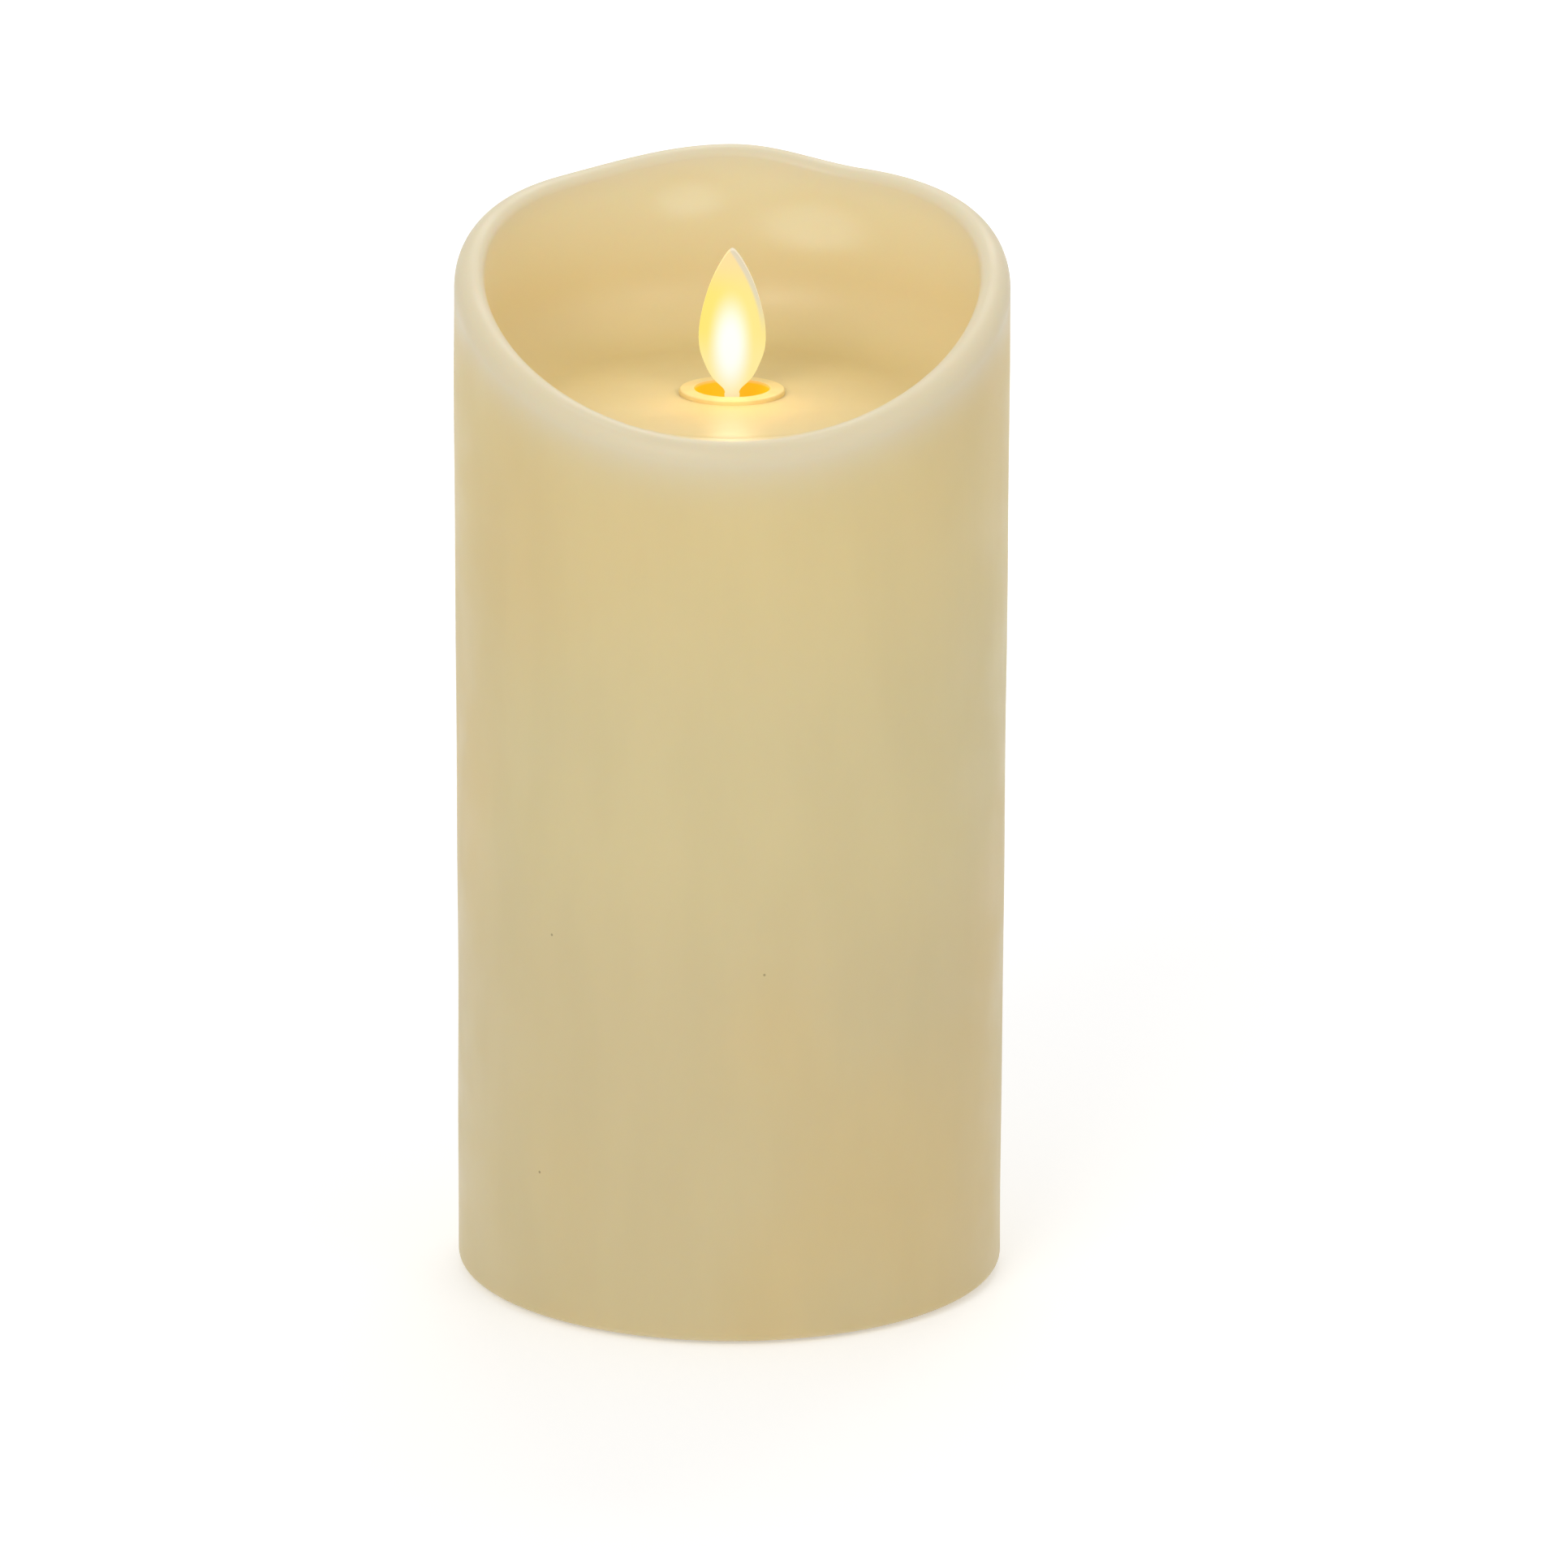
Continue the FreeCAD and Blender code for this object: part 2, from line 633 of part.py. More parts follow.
def cone_spring(x, wide_z, narrow_z):
    """A conical coil whose wire lies between two heights, widest at wide_z."""
    way = 1 if narrow_z > wide_z else -1
    height = abs(narrow_z - wide_z) - 2 * spring_wire_radius
    steps = spring_turns * spring_points_per_turn
    points = []
    for i in range(steps + 1):
        share = i / steps
        angle = 2 * math.pi * spring_turns * share
        radius = spring_base_radius + (spring_tip_radius - spring_base_radius) * share
        z = wide_z + way * (spring_wire_radius + height * share)
        points.append((x + radius * math.cos(angle), radius * math.sin(angle), z))
    return lead(points, spring_wire_radius, spring_bend_share)


def top_contact(x):
    """A flat plate under the roof with a solder tab that stands through it."""
    top_z = case_ceiling_z
    plate = block(x - contact_half_width, x + contact_half_width, -contact_half_width, contact_half_width,
                  top_z - contact_thickness, top_z)
    strip = block(x - tab_half_width, x + tab_half_width, tab_y, 0, top_z - contact_thickness, top_z)
    tab = block(x - tab_half_width, x + tab_half_width, tab_y, tab_y + contact_thickness,
                top_z - contact_thickness, case_top_z + tab_height)
    return joined(plate, strip, tab)


def door_contact():
    reach = cell_x + contact_half_width
    return block(-reach, reach, -contact_half_width, contact_half_width, door_top_z, door_contact_z)


def flange_screws():
    top_z = case_top_z + flange_thickness
    return Part.makeCompound([screw(Vec(x, y, case_ceiling_z - 1.5), Vec(x, y, top_z))
                              for x, y in flange_screw_places()])


# ---- base, door, foot and switch ----

def base_plate():
    plate = cylinder(plate_radius, plate_bottom_z, plate_top_z)
    opening = block(-door_half_length - door_clearance, door_half_length + door_clearance,
                    door_front_y - door_clearance, hinge_y + door_thickness / 2 + door_clearance,
                    plate_bottom_z - 1, plate_top_z + 1)
    groove = ring(foot_outer_radius + foot_clearance, foot_inner_radius - foot_clearance,
                  plate_bottom_z - 1, plate_bottom_z + foot_groove_depth)
    plate = plate.cut(opening).cut(groove)
    reach = door_half_length + door_pin_length + door_clearance
    plate = plate.cut(rod(door_pin_radius + door_pin_clearance, Vec(-reach, hinge_y, hinge_z),
                          Vec(reach, hinge_y, hinge_z)))
    for x, y in plate_screw_places():
        hole_radius = screw_radius + screw_clearance
        plate = plate.cut(cylinder(hole_radius, plate_bottom_z - 1, plate_top_z + 1, x, y))
        plate = plate.cut(cylinder(screw_head_radius + 0.1, plate_bottom_z - 1,
                                   plate_bottom_z + screw_head_height + 0.3, x, y))
    slot_half = knob_half_length + knob_travel / 2 + switch_clearance
    plate = plate.cut(block(-slot_half, slot_half, switch_y - knob_half_width - switch_clearance,
                            switch_y + knob_half_width + switch_clearance,
                            plate_bottom_z - 1, plate_top_z + 1))
    for x in switch_screw_places():
        plate = plate.cut(cylinder(screw_radius + screw_clearance, plate_bottom_z + 0.6, plate_top_z + 1,
                                   x, switch_y))
    return plate


def base_screws():
    under_z = plate_bottom_z + screw_head_height + 0.3
    return Part.makeCompound([screw(Vec(x, y, plate_top_z + 4.5), Vec(x, y, under_z))
                              for x, y in plate_screw_places()])


def battery_door():
    edge = door_thickness / 2
    plate = block(-door_half_length, door_half_length, door_front_y, hinge_y, plate_bottom_z, door_top_z)
    corners = [e for e in plate.Edges
               if abs(e.BoundBox.ZLength - door_thickness) < 1e-6 and e.BoundBox.YMax < 0]
    plate = plate.makeFillet(1.2, corners)
    back = rod(edge, Vec(-door_half_length, hinge_y, hinge_z), Vec(door_half_length, hinge_y, hinge_z))
    reach = door_half_length + door_pin_length
    pins = rod(door_pin_radius, Vec(-reach, hinge_y, hinge_z), Vec(reach, hinge_y, hinge_z))
    tongue = block(-snap_half_width, snap_half_width, door_front_y, door_front_y + snap_thickness,
                   plate_bottom_z + 0.5, door_top_z + snap_height)
    bump = rod(0.6, Vec(-snap_half_width, door_front_y + 0.6 - snap_bump, plate_top_z - 0.7),
               Vec(snap_half_width, door_front_y + 0.6 - snap_bump, plate_top_z - 0.7))
    grip = [rod(0.45, Vec(-6, y, plate_bottom_z), Vec(6, y, plate_bottom_z))
            for y in (door_front_y + 3.0, door_front_y + 4.8, door_front_y + 6.6)]
    whole = joined(plate, back, pins, tongue, bump)
    for groove in grip:
        whole = whole.cut(groove)
    return whole


def foot_ring():
    foot = ring(foot_outer_radius, foot_inner_radius, 0, plate_bottom_z + foot_groove_depth)
    return rounded(foot, 0.3, 0)


def switch_screw_places():
    x = switch_half_length + switch_ear / 2
    return (-x, x)


def switch_body():
    body = block(-switch_half_length, switch_half_length, switch_y - switch_half_width,
                 switch_y + switch_half_width, plate_top_z, plate_top_z + switch_height)
    reach = switch_half_length + switch_ear
    ears = block(-reach, reach, switch_y - 2.6, switch_y + 2.6, plate_top_z, plate_top_z + 1.6)
    slide_half = knob_half_length + knob_travel / 2 + switch_clearance
    slide_wide = knob_half_width + knob_shoulder + switch_clearance
    cavity = block(-slide_half, slide_half, switch_y - slide_wide, switch_y + slide_wide,
                   plate_top_z - 1, plate_top_z + 3.0)
    whole = joined(body, ears).cut(cavity)
    for x in switch_screw_places():
        whole = whole.cut(cylinder(screw_radius + screw_clearance, plate_top_z - 1, plate_top_z + 3,
                                   x, switch_y))
    return whole


def switch_knob():
    x0 = -knob_travel / 2 - knob_half_length
    x1 = x0 + 2 * knob_half_length
    thumb = block(x0, x1, switch_y - knob_half_width, switch_y + knob_half_width,
                  knob_above_ground, plate_top_z + 0.6)
    slide_wide = knob_half_width + knob_shoulder
    slider = block(x0, x1, switch_y - slide_wide, switch_y + slide_wide,
                   plate_top_z + 0.25, plate_top_z + 2.7)
    whole = joined(thumb, slider)
    for i in range(3):
        x = x0 + knob_half_length * (0.5 + 0.5 * i)
        front = Vec(x, switch_y - 3, knob_above_ground)
        whole = whole.cut(rod(0.2, front, front + Vec(0, 6, 0)))
    return whole


def switch_terminals():
    top_z = plate_top_z + switch_height
    return Part.makeCompound([block(x - 0.5, x + 0.5, switch_y - 0.15, switch_y + 0.15, top_z, top_z + 3.0)
                              for x in (-4.0, 0.0, 4.0)])


def switch_screws():
    seat_z = plate_top_z + 1.6
    return Part.makeCompound([screw(Vec(x, switch_y, plate_bottom_z + 0.9), Vec(x, switch_y, seat_z))
                              for x in switch_screw_places()])


def switch_leads():
    low_z = plate_top_z + switch_height + 3.02
    leads = []
    for side in (-1, 1):
        leads.append(lead([
            (side * 4.0, switch_y, low_z), (side * 3.6, switch_y, low_z + 14),
            (side * 2.4, switch_y, low_z + 28), (side * 2.0, switch_lead_y, case_ceiling_z - 5),
            (side * 2.0, switch_lead_y, case_top_z + 2), (side * 6.2, pad_y, board_top_z + 3.0),
            (side * 6.2, pad_y, board_top_z + 0.02),
        ], lead_radius))
    return Part.makeCompound(leads)


def battery_lead(side):
    tab_top_z = case_top_z + tab_height + 0.02
    x = side * cell_x
    return lead([
        (x, tab_y + contact_thickness / 2, tab_top_z), (x, tab_y + 0.1, board_top_z + 2.8),
        (side * 9.2, pad_y, board_top_z + 2.6), (side * 9.2, pad_y, board_top_z + 0.02),
    ], lead_radius)


def main():
    os.makedirs("parts", exist_ok=True)
    save("wax_shell", wax_shell())
    save("flame_collar", flame_collar())
    save("pivot_wire", pivot_wire())
    save("flame_paddle", flame_paddle())
    save("flame_magnet", flame_magnet())
    whole_housing = housing()
    save("housing_front", housing_half(whole_housing, -1))
    save("housing_rear", housing_half(whole_housing, 1))
    save("housing_screws", Part.makeCompound([screw(tip, head) for tip, head in clamp_screw_lines()]))
    save("flange_screws", flange_screws())
    save("led_holder", led_holder())
    save("led_lamp", led_lamp())
    save("led_pins", led_pins())
    save("led_leads", led_leads())
    save("coil_bobbin", coil_bobbin())
    save("coil_winding", coil_winding())
    save("coil_leads", coil_leads())
    save("control_board", control_board())
    save("control_chip", control_chip())
    save("board_capacitor", board_capacitor())
    save("board_resistors", board_resistors())
    save("timer_crystal", timer_crystal())
    save("board_screws", board_screws())
    save("battery_case", battery_case())
    left_bottom_z = door_contact_z + spring_height
    right_bottom_z = door_contact_z + contact_gap
    save("battery_left", cell(left_bottom_z, -cell_x, True))
    save("battery_right", cell(right_bottom_z, cell_x, False))
    save("contact_positive", top_contact(-cell_x))
    save("contact_negative", top_contact(cell_x))
    plate_under_z = case_ceiling_z - contact_thickness
    save("contact_spring", cone_spring(cell_x, plate_under_z, right_bottom_z + cell_height + contact_gap))
    save("door_contact", door_contact())
    save("door_spring", cone_spring(-cell_x, door_contact_z, left_bottom_z - contact_gap))
    save("base_plate", base_plate())
    save("base_screws", base_screws())
    save("battery_door", battery_door())
    save("foot_ring", foot_ring())
    save("switch_body", switch_body())
    save("switch_knob", switch_knob())
    save("switch_terminals", switch_terminals())
    save("switch_screws", switch_screws())
    save("switch_leads", switch_leads())
    save("battery_lead_red", battery_lead(-1))
    save("battery_lead_black", battery_lead(1))


main()
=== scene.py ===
import math

import bpy
from mathutils import Matrix, Vector


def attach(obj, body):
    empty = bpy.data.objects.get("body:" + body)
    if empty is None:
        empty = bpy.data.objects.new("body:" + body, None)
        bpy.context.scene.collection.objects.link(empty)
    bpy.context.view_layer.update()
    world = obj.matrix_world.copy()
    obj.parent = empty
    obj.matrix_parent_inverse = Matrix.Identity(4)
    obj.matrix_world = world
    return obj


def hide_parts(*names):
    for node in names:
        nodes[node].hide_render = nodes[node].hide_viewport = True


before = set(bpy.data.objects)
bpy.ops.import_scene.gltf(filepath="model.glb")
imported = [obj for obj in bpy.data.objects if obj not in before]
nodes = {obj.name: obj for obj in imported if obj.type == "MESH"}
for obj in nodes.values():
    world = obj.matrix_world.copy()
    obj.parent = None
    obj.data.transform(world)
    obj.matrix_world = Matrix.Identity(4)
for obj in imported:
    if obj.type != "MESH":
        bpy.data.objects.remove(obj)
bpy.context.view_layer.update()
print("frame loaded with", len(nodes), "CAD nodes")

mm = 0.001
scene = bpy.context.scene
scene.view_settings.view_transform = "Standard"


# helpers for colours and shader trees

def tone(red, green, blue):  # a screen colour from 0 to 255, as the shader wants it
    channels = [c / 255 for c in (red, green, blue)]
    return tuple(c / 12.92 if c <= 0.04045 else ((c + 0.055) / 1.055) ** 2.4 for c in channels) + (1.0,)


def feed(tree, socket, value):
    if isinstance(value, bpy.types.NodeSocket):
        tree.links.new(value, socket)
    else:
        socket.default_value = value


def maths(tree, operation, first, second=0.0, clamp=False):
    node = tree.nodes.new("ShaderNodeMath")
    node.operation = operation
    node.use_clamp = clamp
    feed(tree, node.inputs[0], first)
    feed(tree, node.inputs[1], second)
    return node.outputs[0]


def ramp(tree, value, low, high, toLow=0.0, toHigh=1.0):  # smooth change between two readings
    node = tree.nodes.new("ShaderNodeMapRange")
    node.interpolation_type = "SMOOTHSTEP"
    feed(tree, node.inputs["Value"], value)
    for name, number in (("From Min", low), ("From Max", high), ("To Min", toLow), ("To Max", toHigh)):
        node.inputs[name].default_value = number
    return node.outputs["Result"]


def mixed(tree, share, first, second, way="MIX"):
    node = tree.nodes.new("ShaderNodeMix")
    node.data_type = "RGBA"
    node.blend_type = way
    feed(tree, node.inputs[0], share)
    feed(tree, node.inputs[6], first)
    feed(tree, node.inputs[7], second)
    return node.outputs[2]


def placed(tree, scale=(1, 1, 1)):  # object coordinates, stretched
    coordinates = tree.nodes.new("ShaderNodeTexCoord")
    node = tree.nodes.new("ShaderNodeMapping")
    node.inputs["Scale"].default_value = scale
    tree.links.new(coordinates.outputs["Object"], node.inputs["Vector"])
    return node.outputs[0]


def axes(tree):  # object coordinates, one by one
    coordinates = tree.nodes.new("ShaderNodeTexCoord")
    node = tree.nodes.new("ShaderNodeSeparateXYZ")
    tree.links.new(coordinates.outputs["Object"], node.inputs[0])
    return node.outputs["X"], node.outputs["Y"], node.outputs["Z"]


def between(tree, value, heights, toLow=0.0, toHigh=1.0):  # a ramp whose ends are in millimetres
    return ramp(tree, value, heights[0] * mm, heights[1] * mm, toLow, toHigh)


def seenDirectly(tree):  # 1 for the camera and for what metal and glass show
    rays = tree.nodes.new("ShaderNodeLightPath")
    mirrored = maths(tree, "ADD", rays.outputs["Is Glossy Ray"], rays.outputs["Is Transmission Ray"])
    return maths(tree, "ADD", rays.outputs["Is Camera Ray"], mirrored, True)


def clouds(tree, scale, detail=2.0, stretch=(1, 1, 1)):
    node = tree.nodes.new("ShaderNodeTexNoise")
    node.inputs["Scale"].default_value = scale
    node.inputs["Detail"].default_value = detail
    tree.links.new(placed(tree, stretch), node.inputs["Vector"])
    return node.outputs["Fac"]


def painted(tree, name):  # a value stored on the mesh
    node = tree.nodes.new("ShaderNodeAttribute")
    node.attribute_name = name
    return node.outputs["Fac"]


def relief(tree, shader, height, distance, strength=1.0):
    node = tree.nodes.new("ShaderNodeBump")
    node.inputs["Strength"].default_value = strength
    node.inputs["Distance"].default_value = distance
    tree.links.new(height, node.inputs["Height"])
    tree.links.new(node.outputs[0], shader.inputs["Normal"])


def newFinish(name):
    material = bpy.data.materials.new(name)
    material.use_nodes = True
    return material, material.node_tree, material.node_tree.nodes["Principled BSDF"]


def meshPiece(name, points, faces, values=None):
    mesh = bpy.data.meshes.new(name)
    mesh.from_pydata([[c * mm for c in p] for p in points], [], faces)
    mesh.update()
    mesh.polygons.foreach_set("use_smooth", [True] * len(mesh.polygons))
    for key, numbers in (values or {}).items():
        mesh.attributes.new(key, "FLOAT", "POINT").data.foreach_set("value", numbers)
    piece = bpy.data.objects.new(name, mesh)
    scene.collection.objects.link(piece)
    return piece


# the wax body: a ring of upright sections under one melted rim

wax = {
    "outerRadius": 44.45, "cupRadius": 39.6, "cupFloor": 146.2, "cupCorner": 11.0,
    "boreRadius": 38.5, "ceiling": 142.0, "holeRadius": 7.3, "bottom": 0.5, "footRounding": 1.8,
    "lipDrop": 1.9, "lipInner": 2.0, "lipOuter": 2.85, "shoulderDrop": 3.4,
    "rimMean": 164.7, "rimTilt": 13.6, "rimSaddle": 2.8, "rimSkew": 0.3,
    "humpHeight": 2.6, "humpRight": 30.0, "humpLeft": 42.0,
    "stepsAround": 360, "stepsCup": 64, "stepsLip": 30, "stepsWall": 120,
    "stepsCorner": 18, "stepsInnerArc": 14, "stepsOuterArc": 18, "stepsFoot": 8,
    "stepsHidden": (3, 34, 10, 3),
    "wobble": 0.13, "wobbleStart": 12,  # it grows to its full depth over this much wall
    "dents": (  # degrees from the back, height, half width, half height, depth
        (-10.5, 169.6, 5.5, 3.0, 0.35), (20.0, 165.6, 9.5, 4.0, 0.45)),
    "dentsReach": 60,
    "glints": (  # painted highlight lines: first and last degree from the front, drop below the crest, side of the lip
        (-42, -18, 0.6, "outer"), (12, 24, 0.6, "outer"), (148, 176, 1.3, "inner")),
    "glintHalf": 0.22, "glintEnds": 5,
    "rimLightCup": (1.0, 2.4), "rimLightWall": (2.6, 4.4), "rimLightPower": 1.5,  # painted rim light: drop where it fades, and reach
    "deepFrom": 171, "deepOver": 25, "deepPower": 1.3,  # how the cup's colour changes with depth: the thicker wax's own tone, with painted light at the top and painted shade and warm flame glow lower down
    "lipInCup": 0.6, "lipInCupRadius": 41,
}


def rimHeight(angle):  # angle from the low side, positive towards +X
    fromBack = math.degrees(math.remainder(angle - math.pi, 2 * math.pi))
    halfWidth = wax["humpRight"] if fromBack < 0 else wax["humpLeft"]
    hump = (1 + math.cos(math.pi * min(abs(fromBack) / halfWidth, 1))) / 2
    swell = wax["rimTilt"] * math.cos(angle) + wax["rimSaddle"] * math.cos(2 * angle)
    return wax["rimMean"] - swell + wax["rimSkew"] * math.cos(3 * angle) + wax["humpHeight"] * hump


def spread(path, count):  # points at even distances along a path
    reach = [0.0]
    for a, b in zip(path, path[1:]):
        reach.append(reach[-1] + math.dist(a, b))
    result, i = [], 0
    for k in range(count):
        want = reach[-1] * k / (count - 1)
        while i < len(reach) - 2 and reach[i + 1] < want:
            i += 1
        share = (want - reach[i]) / max(reach[i + 1] - reach[i], 1e-9)
        result.append(tuple(a + (b - a) * share for a, b in zip(path[i], path[i + 1])))
    return result


def handMade(angle, height):  # how far the outside stands off a true cylinder
    waves = (0.5 * math.sin(2 * angle + height / 31) + 0.3 * math.sin(3 * angle - height / 17 + 1.1)
             + 0.25 * math.sin(5 * angle + height / 11 + 2.0) + 0.2 * math.sin(height / 6.3 + 2 * angle))
    return wax["wobble"] * waves


def waxSection(angle):
    crest = rimHeight(angle)
    lip = crest - wax["lipDrop"]
    cup, corner, floor = wax["cupRadius"], wax["cupCorner"], wax["cupFloor"]
    inside = [(wax["holeRadius"], floor), (cup - corner, floor)]
    for k in range(1, wax["stepsCorner"] + 1):
        turn = math.pi / 2 * k / wax["stepsCorner"]
        z = floor + corner * (1 - math.cos(turn))
        inside.append((cup - corner + corner * math.sin(turn), min(z, lip)))
    if lip > floor + corner:
        inside.append((cup, lip))
    section = [(r, z, "cup") for r, z in spread(inside, wax["stepsCup"])]
    outer = wax["outerRadius"]
    peak = cup + wax["lipInner"]
    arc = []
    for k in range(wax["stepsInnerArc"] + 1):
        turn = math.pi / 2 * k / wax["stepsInnerArc"]
        arc.append((peak - wax["lipInner"] * math.cos(turn), lip + wax["lipDrop"] * math.sin(turn)))
    for k in range(wax["stepsOuterArc"] + 1):
        turn = math.pi / 2 * k / wax["stepsOuterArc"]
        arc.append((outer - wax["lipOuter"] + wax["lipOuter"] * math.sin(turn),
                    crest - wax["shoulderDrop"] * (1 - math.cos(turn))))
    section += [(r, z, "lip") for r, z in spread(arc, wax["stepsLip"])[1:]]
    top, low, foot = crest - wax["shoulderDrop"], wax["bottom"], wax["footRounding"]
    for k in range(1, wax["stepsWall"] + 1):
        z = top + (low + foot - top) * k / wax["stepsWall"]
        section.append((outer + handMade(angle, z) * min((top - z) / wax["wobbleStart"], 1), z, "wall"))
    wallEnd = section[-1][0]
    for k in range(1, wax["stepsFoot"] + 1):
        turn = math.pi / 2 * k / wax["stepsFoot"]
        section.append((wallEnd - foot * (1 - math.cos(turn)), low + foot * (1 - math.sin(turn)), "foot"))
    bore, ceiling, hole = wax["boreRadius"], wax["ceiling"], wax["holeRadius"]
    hidden = [(section[-1][0], low), (bore, low), (bore, ceiling), (hole, ceiling), (hole, floor)]
    for a, b, count in zip(hidden, hidden[1:], wax["stepsHidden"]):
        for k in range(1, count + 1):
            section.append((a[0] + (b[0] - a[0]) * k / count, a[1] + (b[1] - a[1]) * k / count, "hidden"))
    return section[:-1], crest


def dentShare(fromBack, z, dent):  # 1 in the middle of a dent, 0 well outside it
    side, height, halfWide, halfHigh, depth = dent
    off = math.hypot((-fromBack - side) / math.degrees(halfWide / wax["cupRadius"]), (z - height) / halfHigh)
    return math.exp(-off ** 4)


def glintShare(fromFront, drop, isOuter, glint):  # painted highlights: thin pale lines along the rim
    first, last, lineDrop, side = glint
    if not first < fromFront < last or isOuter != (side == "outer"):
        return 0.0
    ends = min(fromFront - first, last - fromFront) / wax["glintEnds"]
    return math.exp(-((drop - lineDrop) / wax["glintHalf"]) ** 2) * min(ends, 1)


def fading(drop, begins, reach):
    return math.exp(-(max(drop - begins, 0) / reach) ** wax["rimLightPower"])


# painted rim light: the wax is painted paler near the crest, where light falls on the rim and shines through
# its thin edge
def rimPaleness(place, r, drop):
    if place == "hidden":
        return 0.0
    if place == "lip":
        return 1.0
    if place != "cup":
        return fading(drop, *wax["rimLightWall"])
    flatEnds = wax["cupRadius"] - wax["cupCorner"]  # no painted rim light on the flat floor inside this radius
    outward = min(max((r - flatEnds) / wax["cupCorner"], 0), 1)
    return fading(drop, *wax["rimLightCup"]) * outward * outward * (3 - 2 * outward)


def makeWax():
    points, faces, rows = [], [], wax["stepsAround"]
    rimNear, cupDepth, inCup, highlightPaint = [], [], [], []
    middleRadius = (wax["cupRadius"] + wax["outerRadius"]) / 2
    for row in range(rows):
        angle = 2 * math.pi * row / rows
        fromBack = math.degrees(math.remainder(angle - math.pi, 2 * math.pi))
        fromFront = math.degrees(math.remainder(angle, 2 * math.pi))
        section, crest = waxSection(angle)
        for r, z, place in section:
            # painted highlight: the dents are pushed in and painted paler, and thin pale lines are painted
            # along the lip, as if catching the light
            paintedHighlight = 0.0
            if place == "cup" and abs(fromBack) < wax["dentsReach"]:
                for dent in wax["dents"]:
                    bowl = dentShare(fromBack, z, dent)
                    paintedHighlight = max(paintedHighlight, bowl)
                    r += dent[-1] * bowl
            if place == "lip":
                for glint in wax["glints"]:
                    paintedHighlight = max(paintedHighlight, glintShare(fromFront, crest - z, r > middleRadius, glint))
            lipInside = place == "lip" and r < wax["lipInCupRadius"]
            points.append((r * math.sin(angle), -r * math.cos(angle), z))
            rimNear.append(rimPaleness(place, r, crest - z))
            inCup.append(1.0 if place == "cup" else wax["lipInCup"] if lipInside else 0.0)
            cupDepth.append(min(max((wax["deepFrom"] - z) / wax["deepOver"], 0), 1) ** wax["deepPower"])
            highlightPaint.append(paintedHighlight)
    count = len(points) // rows
    for row in range(rows):
        here, there = row * count, (row + 1) % rows * count
        for k in range(count):
            k2 = (k + 1) % count
            faces.append((here + k, here + k2, there + k2, there + k))
    values = {"rimNear": rimNear, "cupDepth": cupDepth, "inCup": inCup, "highlightPaint": highlightPaint}
    return meshPiece("waxBody", points, faces, values)


waxLook = {
    "middle": tone(219, 203, 154), "upper": tone(226, 206, 150), "lower": tone(215, 198, 152),
    # the rim colour is painted rim light along the crest
    "warmPatch": tone(222, 196, 138), "rim": tone(226, 216, 187), "cupTopWaxAndLight": tone(237, 227, 187),
    # the cup colours are partly the thicker wax's own tone, partly painted light near the top and painted
    # shade and warm flame glow deep down
    "cupDeepWaxShadeAndGlow": tone(229, 206, 147), "dent": tone(246, 239, 208), "speck": tone(120, 100, 60),
    "middleStarts": (55, 85), "upperStarts": (95, 140),  # heights in millimetres
    # dent is the painted highlight colour on the dents and the rim glints, dentShare how much of it
    "dentShare": 0.55, "rimShare": 0.85, "patchShare": 0.5, "streakDark": 0.985, "streakLight": 1.01,
    "speckScale": 110.0, "speckHalf": (0.018, 0.03), "speckRare": (0.56, 0.62), "speckShare": 0.6,
    "roughness": 0.44, "smoother": 0.05, "rougher": 0.08, "cupSmoother": 0.04, "ior": 1.44,
    "subsurface": 0.35, "depths": (1.0, 0.62, 0.28), "reach": 0.005,
    "finePart": 0.06, "reliefDepth": 0.0003, "reliefStrength": 0.35,
}


def waxSpecks(tree):  # a few dark grains in the wax
    coordinates = tree.nodes.new("ShaderNodeTexCoord")
    dots = tree.nodes.new("ShaderNodeTexVoronoi")
    dots.inputs["Scale"].default_value = waxLook["speckScale"]
    tree.links.new(coordinates.outputs["Object"], dots.inputs["Vector"])
    small = ramp(tree, dots.outputs["Distance"], *waxLook["speckHalf"], 1.0, 0.0)
    few = ramp(tree, clouds(tree, 60.0, 0.0), *waxLook["speckRare"])
    return maths(tree, "MULTIPLY", small, maths(tree, "MULTIPLY", few, waxLook["speckShare"]))


